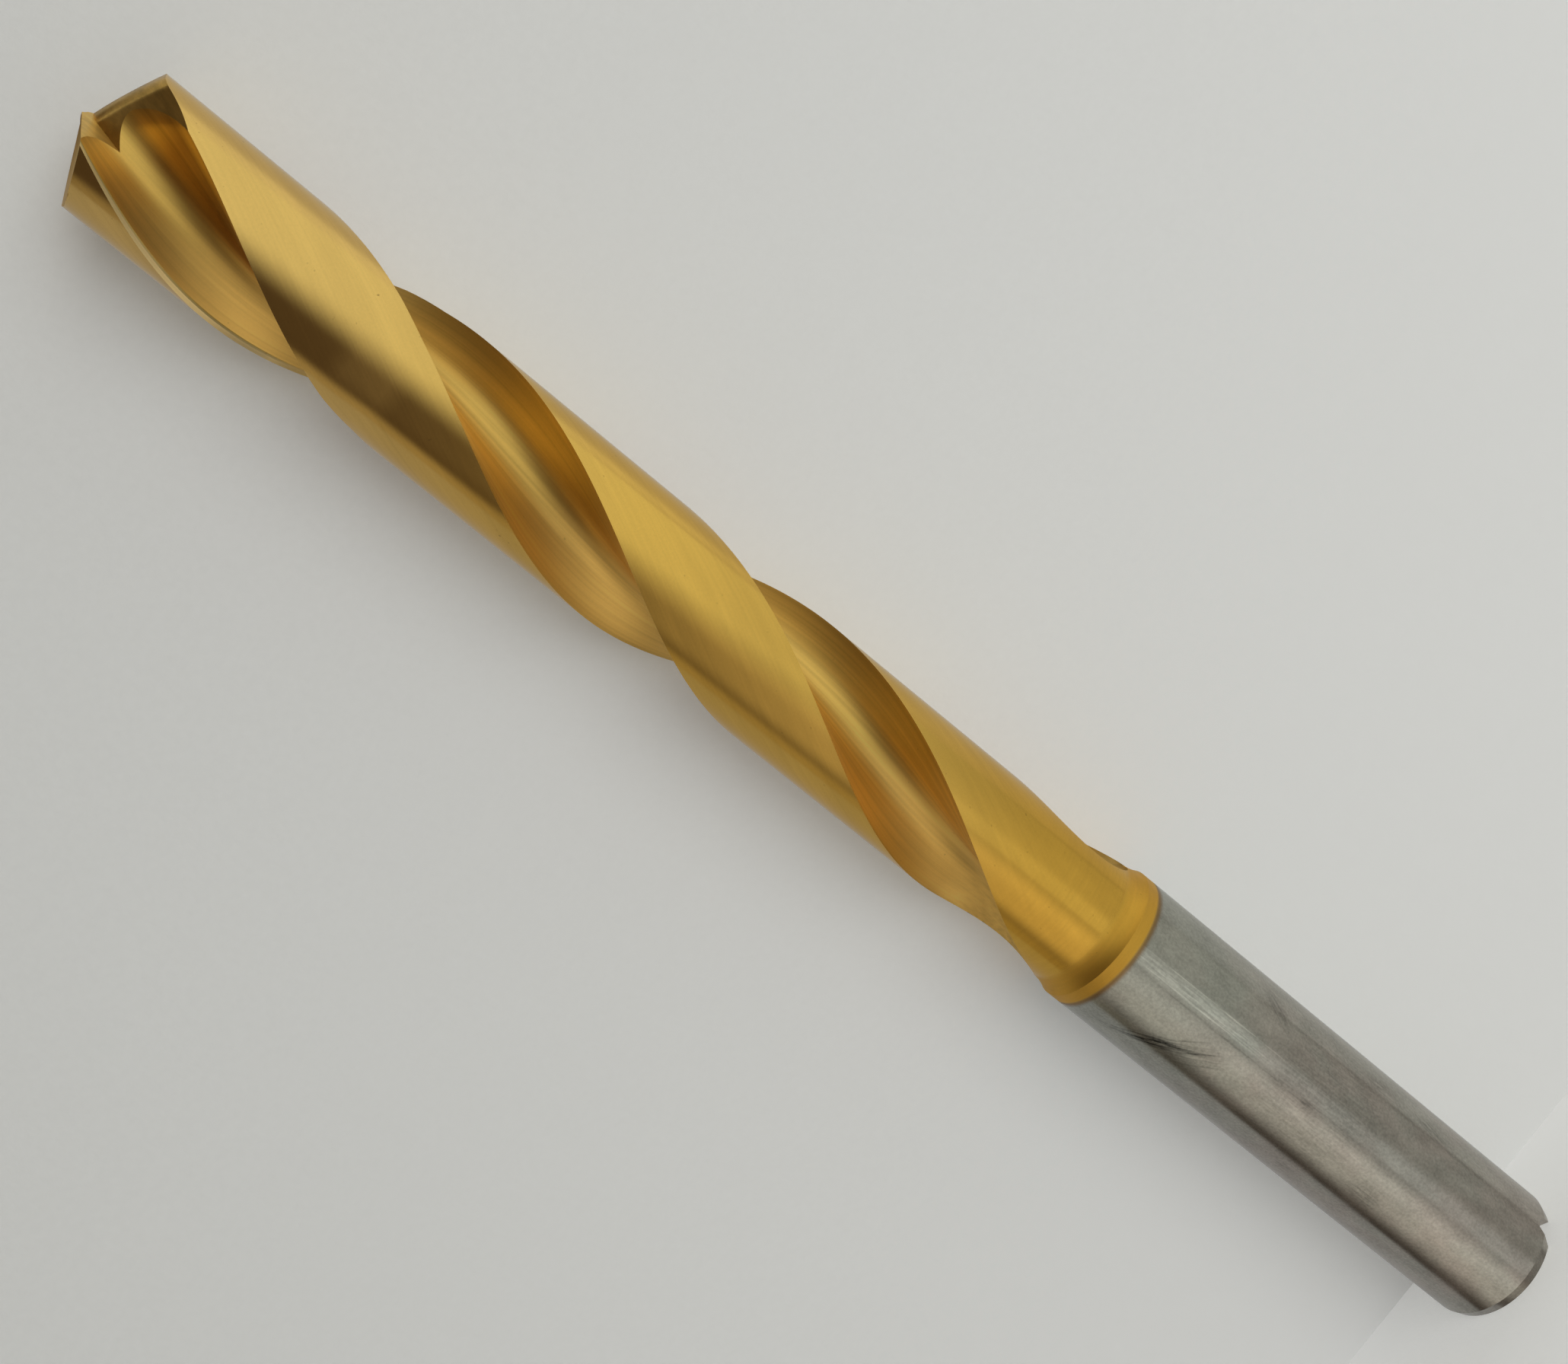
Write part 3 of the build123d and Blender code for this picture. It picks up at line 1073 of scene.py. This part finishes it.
@dataclass
class DrillFinish:
    """The drill's materials: coating above the coating edge, bare carbide below it."""

    effects: Effects
    helix: Helix
    coating: GoldCoating
    coating_edge: float = 46.2
    fade: float = 0.6
    ring_marks: Point2 = (62.0, 52.0)
    edge_start: Point2 = (118.0, 124.0)
    edge_side: Point2 = (0.53, 0.47)
    edge_out: Point2 = (5.2, 5.4)
    edge_tilt: float = 20.0
    burn: Point2 = (45.62, 46.04)
    burn_softness: Point2 = (0.45, 0.28)
    burn_share: float = 0.72
    ring_waves: Point3 = (0.35, 0.35, 4.0)
    carbide_relief: float = 0.0005

    def build(self, ground: Ground) -> bpy.types.Material:
        """Make the material of one way of grinding.

        Args:
            ground: how the faces were ground.

        Returns:
            The finished material.
        """
        marks = MARKS[ground]
        material = bpy.data.materials.new(ground.value)
        material.use_nodes = True
        wiring = Wiring(material.node_tree)
        shader = material.node_tree.nodes["Principled BSDF"]
        place = wiring.node("ShaderNodeTexCoord").outputs["Object"]
        frame = wiring.use(self.effects.frame, place=place)
        streaks = wiring.use(self.effects.streaks, section=frame["Section"], stretch=marks.stretch)
        relief: object = streaks["Streaks"]
        if ground is Ground.ROUND:
            relief = self.add_ring_marks(wiring, frame, relief)
        edge: object = self.edge_mask(wiring, frame) if ground is Ground.FLUTE else 0.0
        gold = wiring.use(
            self.effects.gold,
            millimetres=frame["Millimetres"],
            section=frame["Section"],
            streaks=relief,
            tone=marks.tone,
            even=1.0 if ground is Ground.FLUTE else 0.0,
            edge=edge,
        )
        colour = gold["Color"]
        roughness = wiring.math("ADD", gold["Roughness"], marks.roughness)
        relief = wiring.product(relief, marks.depth)
        if ground is Ground.FLUTE:
            self.turn_scatter(wiring, shader, place)
            across = wiring.math("ABSOLUTE", wiring.split(frame["Section"])[0])
            tilt = -math.tan(math.radians(self.edge_tilt))
            relief = wiring.math("ADD", relief, wiring.product(edge, tilt, across))
        if ground is Ground.ROUND:
            height = wiring.split(frame["Millimetres"])[2]
            coated = wiring.ramp(height, self.coating_edge - self.fade, self.coating_edge)
            carbide = wiring.use(self.effects.carbide, millimetres=frame["Millimetres"])
            colour = wiring.blend(coated, carbide["Color"], colour)
            burn = wiring.band(height, self.burn, self.burn_softness)
            burn = wiring.product(burn, self.burn_share)
            colour = wiring.blend(burn, colour, (*self.coating.burnt, 1))
            roughness = wiring.between(coated, carbide["Roughness"], roughness)
            bare = wiring.product(carbide["Height"], self.carbide_relief)
            relief = wiring.between(coated, bare, relief)
        looks = {
            "Base Color": colour,
            "Metallic": 1.0,
            "Roughness": roughness,
            "Anisotropic": marks.anisotropic,
            "Normal": wiring.bump(relief),
        }
        wiring.feed(shader.inputs, looks)
        return material

    def edge_mask(self, wiring: Wiring, frame: Sockets) -> Socket:
        """Where the narrow land along the cutting edge shines, in the head only."""
        across, beside, height = wiring.split(frame["Section"])
        out = wiring.ramp(wiring.math("ABSOLUTE", across), *self.edge_out)
        side = wiring.ramp(wiring.math("ABSOLUTE", beside), *self.edge_side)
        head = wiring.ramp(height, *self.edge_start)
        return wiring.product(out, side, head)

    def turn_scatter(self, wiring: Wiring, shader: bpy.types.Node, place: Socket) -> None:
        """Spread the reflections across the helix, as the wheel's streaks do.

        Args:
            wiring: the material's wiring.
            shader: the material's shader.
            place: the place in Object coordinates.
        """
        across, away, _ = wiring.split(place)
        rate = math.tau / (self.helix.lead * MM)
        screw = wiring.join(wiring.product(away, -rate), wiring.product(across, rate), 1.0)
        turned = wiring.node(
            "ShaderNodeVectorTransform",
            {0: screw},
            vector_type="VECTOR",
            convert_from="OBJECT",
            convert_to="WORLD",
        )
        normal = wiring.node("ShaderNodeNewGeometry").outputs["Normal"]
        tangent = wiring.vector("CROSS_PRODUCT", normal, turned.outputs[0])
        wiring.feed(shader.inputs, {"Tangent": tangent})

    def add_ring_marks(self, wiring: Wiring, frame: Sockets, streaks: object) -> Socket:
        """Turn the streaks into rings where the flutes run out.

        Args:
            wiring: the material's wiring.
            frame: the outputs of the helical frame.
            streaks: the streaks along the helix.

        Returns:
            The streaks and rings together.
        """
        place = frame["Millimetres"]
        rings = wiring.use(self.effects.streaks, section=place, stretch=self.ring_waves)["Streaks"]
        height = wiring.split(place)[2]
        return wiring.between(wiring.ramp(height, *self.ring_marks), streaks, rings)


@dataclass
class TwistDrill:
    """The whole drill, ground from one rod."""

    rod: GroundRod = field(default_factory=GroundRod)
    helix: Helix = field(default_factory=Helix)
    smooth_below: float = 10.0
    skin: float = 0.02
    point_from: float = 135.0
    point_slope: float = 0.55

    def ground_of(self, face: bpy.types.MeshPolygon) -> Ground:
        """How a face was ground, from its place and its normal."""
        x, y, height = face.center / MM
        if height > self.point_from and face.normal.z > self.point_slope:
            return Ground.POINT
        on_rod = math.hypot(x, y) > self.rod.radius_at(height) - self.skin
        return Ground.ROUND if on_rod or height < self.rod.shank_length else Ground.FLUTE

    def build(self) -> Piece:
        """Grind the rod: flanks, flutes, heels and slot.

        Returns:
            The finished piece at the origin.
        """
        flute = Flute(self.helix, self.rod)
        point = DrillPoint(self.rod, flute)
        drill = self.rod.build()
        point.grind_flanks(drill)
        for tool in (flute.build_cutter(), point.build_heel_cutter()):
            for i in range(1, flute.count):
                Bench.cut(drill, Bench.turned_copy(tool, 360.0 * i / flute.count))
            Bench.cut(drill, tool)
        Bench.cut(drill, ShankSlot().build_cutter())
        Bench.edit(drill)
        Bench.close(drill)
        Bench.pick(drill)
        bpy.ops.object.shade_smooth_by_angle(angle=math.radians(self.smooth_below))
        return drill

    def dress(self, drill: Piece, finish: DrillFinish) -> None:
        """Give each of the drill's faces its finish, and the drill its place in the frame.

        Args:
            drill: the finished piece.
            finish: the finish it gets.
        """
        drill.data.materials.clear()
        order = list(Ground)
        for ground in order:
            drill.data.materials.append(finish.build(ground))
        for face in drill.data.polygons:
            face.material_index = order.index(self.ground_of(face))
        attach(drill, "root")
        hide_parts("carbide_drill")


# Studio


@dataclass(frozen=True)
class Pane:
    """One soft-edged pane of light in the studio, in degrees as seen from the drill.

    Azimuth 0 is the photographed side and +X is 90; elevation goes up towards the point.
    """

    azimuth: Point2
    azimuth_soft: Point2
    elevation: Point2
    elevation_soft: Point2
    light: Colour


@dataclass
class Studio:
    """Plain pale surroundings with soft panes of light."""

    pale: Colour = (0.61, 0.62, 0.60)
    paper_colour: Colour = (0.80, 0.81, 0.82)
    base: Colour = (0.062, 0.047, 0.036)
    panes: tuple[Pane, ...] = (
        Pane((-3, 109), (50, 34), (-20, 17), (29, 22), (0.60, 0.65, 0.57)),
        Pane((-68, -3), (40, 36), (-77, -14), (40, 30), (0.50, 0.485, 0.435)),
        Pane((5, 52), (6, 38), (-78, -21), (40, 9), (0.26, 0.27, 0.255)),
        Pane((52, 89), (29, 6), (-77, -23), (36, 6), (0.27, 0.28, 0.265)),
        Pane((17, 121), (50, 25), (17, 34), (6, 47), (0.45, 0.39, 0.25)),
        Pane((-30, 30), (30, 12), (-57, -21), (12, 25), (0.147, 0.157, 0.159)),
        Pane((-97, -77), (22, 16), (-26, 9), (3, 15), (0.239, 0.225, 0.165)),
    )
    back_panes: tuple[Pane, ...] = (
        Pane((110, 175), (40, 40), (-30, 50), (40, 40), (0.55, 0.60, 0.60)),
        Pane((185, 250), (30, 30), (-70, 10), (40, 40), (0.35, 0.36, 0.34)),
    )
    # How the paper looks in the drill's reflections: painted light and shadow, shaded towards -X,
    # lit towards +X and brighter far out.
    far_lit_paper: Colour = (0.62, 0.64, 0.58)
    far_from: Point2 = (18.0, 50.0)
    far_height: Point2 = (0.04, 0.11)
    lit_paper: Colour = (0.43, 0.43, 0.40)
    shaded_paper: Colour = (0.32, 0.32, 0.31)
    lamp_azimuth: float = 25.0
    lamp_elevation: float = 15.0
    lamp_distance: float = 0.7
    lamp_size: float = 0.7
    lamp_power: float = 1.7
    middle: Point3 = (0.0, 0.0, 0.07)
    # A painted gradient in the paper's own light, brighter towards +X and lower down.
    paper_brighter: Point3 = (2.2, 0.0, -5.4)
    paper_change: float = 0.55
    paper_roughness: float = 0.9
    grain_depth: float = 0.02
    sheet_size: float = 0.96
    sheet_height: float = 0.3
    sheet_gap: float = 6.02
    sheet_open: float = 5.0
    sheet_light: float = 0.275
    floor_light: float = 0.412
    floor_drop: float = 1e-5

    @staticmethod
    def aim(azimuth: float, elevation: float) -> Vector:
        """Unit vector towards a place in the studio, from its azimuth and elevation."""
        around, up = math.radians(azimuth), math.radians(elevation)
        return Vector(
            (math.cos(up) * math.sin(around), -math.cos(up) * math.cos(around), math.sin(up))
        )

    def build_world(self) -> None:
        """Light the scene from soft patches; the camera sees plain pale grey."""
        world = bpy.data.worlds.new("studio")
        bpy.context.scene.world = world
        world.use_nodes = True
        wiring = Wiring(world.node_tree)
        background = world.node_tree.nodes["Background"]
        across, away, up = wiring.split(wiring.node("ShaderNodeTexCoord").outputs["Generated"])
        azimuth = wiring.math("DEGREES", wiring.bearing(across, away))
        elevation = wiring.math("DEGREES", wiring.math("ARCSINE", up))
        turned = wiring.math("WRAP", azimuth, 0.0, 360.0)
        level: object = self.base
        for around, panes in ((azimuth, self.panes), (turned, self.back_panes)):
            for pane in panes:
                wide = wiring.band(around, pane.azimuth, pane.azimuth_soft)
                tall = wiring.band(elevation, pane.elevation, pane.elevation_soft)
                inside = wiring.product(wide, tall)
                level = wiring.vector("MULTIPLY_ADD", inside, pane.light, level)
        seen = wiring.node("ShaderNodeLightPath").outputs["Is Camera Ray"]
        wiring.feed(background.inputs, {"Color": wiring.blend(seen, level, (*self.pale, 1))})

    def paper(
        self, name: str, effects: Effects, own_light: float, reflected: bool
    ) -> bpy.types.Material:
        """Pale paper that is seen from its front only.

        Args:
            name: the material's name.
            effects: the shared node groups.
            own_light: the light that the paper shows by itself, beside what falls on it.
            reflected: whether the drill shows it in its reflections.

        Returns:
            The finished material.
        """
        material = bpy.data.materials.new(name)
        material.use_nodes = True
        wiring = Wiring(material.node_tree)
        nodes = material.node_tree.nodes
        shader = nodes["Principled BSDF"]
        place = wiring.node("ShaderNodeTexCoord").outputs["Object"]
        grain = wiring.use(effects.grain, place=place, color=(*self.paper_colour, 1))
        rays = wiring.node("ShaderNodeLightPath").outputs
        # Painted light: the paper's own light grows towards +X and towards the floor.
        offset = wiring.vector("SUBTRACT", place, self.middle)
        change = wiring.measure("DOT_PRODUCT", offset, self.paper_brighter)
        change = wiring.math("MINIMUM", change, self.paper_change)
        change = wiring.math("MAXIMUM", change, -self.paper_change)
        level = wiring.math("MULTIPLY_ADD", change, own_light, own_light)
        looks = {
            "Base Color": grain["Color"],
            "Roughness": self.paper_roughness,
            "Specular IOR Level": 0.0,
            "Emission Color": (*self.pale, 1),
            "Emission Strength": wiring.product(rays["Is Camera Ray"], level),
            "Normal": wiring.bump(wiring.product(grain["Height"], self.grain_depth)),
        }
        wiring.feed(shader.inputs, looks)
        # In reflections the paper glows with painted light and shadow: shaded on the -X side, lit
        # on the +X side, brighter far out to +X and up.
        across = wiring.product(wiring.split(place)[0], 1 / MM)
        side = wiring.ramp(across, -self.sheet_open, self.sheet_open)
        tone = wiring.blend(side, (*self.shaded_paper, 1), (*self.lit_paper, 1))
        upper = wiring.ramp(wiring.split(place)[2], *self.far_height)
        far = wiring.product(wiring.ramp(across, *self.far_from), upper)
        tone = wiring.blend(far, tone, (*self.far_lit_paper, 1))
        mirrored = wiring.node("ShaderNodeEmission", {"Color": tone})
        glossy = rays["Is Glossy Ray"]
        front = wiring.mix(glossy, shader.outputs[0], mirrored.outputs[0])
        hidden = glossy
        if reflected:
            near = wiring.math("LESS_THAN", wiring.math("ABSOLUTE", across), self.sheet_open)
            hidden = wiring.product(glossy, near)
        behind = wiring.node("ShaderNodeNewGeometry").outputs["Backfacing"]
        clear = wiring.node("ShaderNodeBsdfTransparent")
        surface = wiring.mix(wiring.math("MAXIMUM", behind, hidden), front, clear.outputs[0])
        wiring.feed(nodes["Material Output"].inputs, {"Surface": surface})
        return material

    def build_lamp(self) -> None:
        """Add the lamp that throws the drill's soft shadow on the paper."""
        lamp = bpy.data.lights.new("shadow_lamp", "AREA")
        lamp.shape = "DISK"
        lamp.size = self.lamp_size
        lamp.energy = self.lamp_power
        holder = bpy.data.objects.new("shadow_lamp", lamp)
        bpy.context.collection.objects.link(holder)
        towards = self.aim(self.lamp_azimuth, self.lamp_elevation)
        holder.location = Vector(self.middle) + towards * self.lamp_distance
        holder.rotation_euler = towards.to_track_quat("Z", "Y").to_euler()
        holder.visible_glossy = False

    def build_sheet(self, effects: Effects) -> None:
        """Stand the paper behind the drill, touching it, and the floor under it.

        Args:
            effects: the shared node groups.
        """
        backdrop = (0, self.sheet_gap * MM, self.sheet_height)
        floor = (0, 0, -self.floor_drop)
        for name, lean, location, own_light, reflected in (
            ("backdrop", math.radians(90), backdrop, self.sheet_light, True),
            ("floor", 0.0, floor, self.floor_light, False),
        ):
            Bench.clear_selection()
            bpy.ops.mesh.primitive_plane_add(
                size=self.sheet_size, location=location, rotation=(lean, 0, 0)
            )
            sheet = bpy.context.object
            sheet.name = name
            bpy.ops.object.transform_apply(location=True, rotation=True)
            sheet.data.materials.append(self.paper(name, effects, own_light, reflected))


@dataclass
class PhotoCamera:
    """The camera at the photograph's viewing angle."""

    location: Point3 = (-0.0002282, -0.1576114, 0.1206434)
    rotation: Point3 = (67.4756, 48.8050, -17.4058)
    lens: float = 49.808
    sensor_width: float = 36.0
    clip_start: float = 0.01

    def build(self) -> None:
        """Add the camera and make it the scene's own."""
        data = bpy.data.cameras.new("photo_camera")
        data.lens = self.lens
        data.sensor_width = self.sensor_width
        data.clip_start = self.clip_start
        camera = bpy.data.objects.new("photo_camera", data)
        bpy.context.collection.objects.link(camera)
        camera.location = self.location
        camera.rotation_euler = [math.radians(angle) for angle in self.rotation]
        bpy.context.scene.camera = camera


def main() -> None:
    """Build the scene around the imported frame."""
    logging.basicConfig(level=logging.INFO, format="%(name)s: %(message)s")
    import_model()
    PhotoCamera().build()
    drill_maker = TwistDrill()
    coating = GoldCoating()
    effects = Effects(drill_maker.helix, coating, GroundCarbide())
    drill = drill_maker.build()
    drill_maker.dress(drill, DrillFinish(effects, drill_maker.helix, coating))
    LOG.info("%s: %d faces", drill.name, len(drill.data.polygons))
    studio = Studio()
    studio.build_world()
    studio.build_lamp()
    studio.build_sheet(effects)
    bpy.context.scene.view_settings.view_transform = "Standard"


if __name__ == "__main__":
    main()
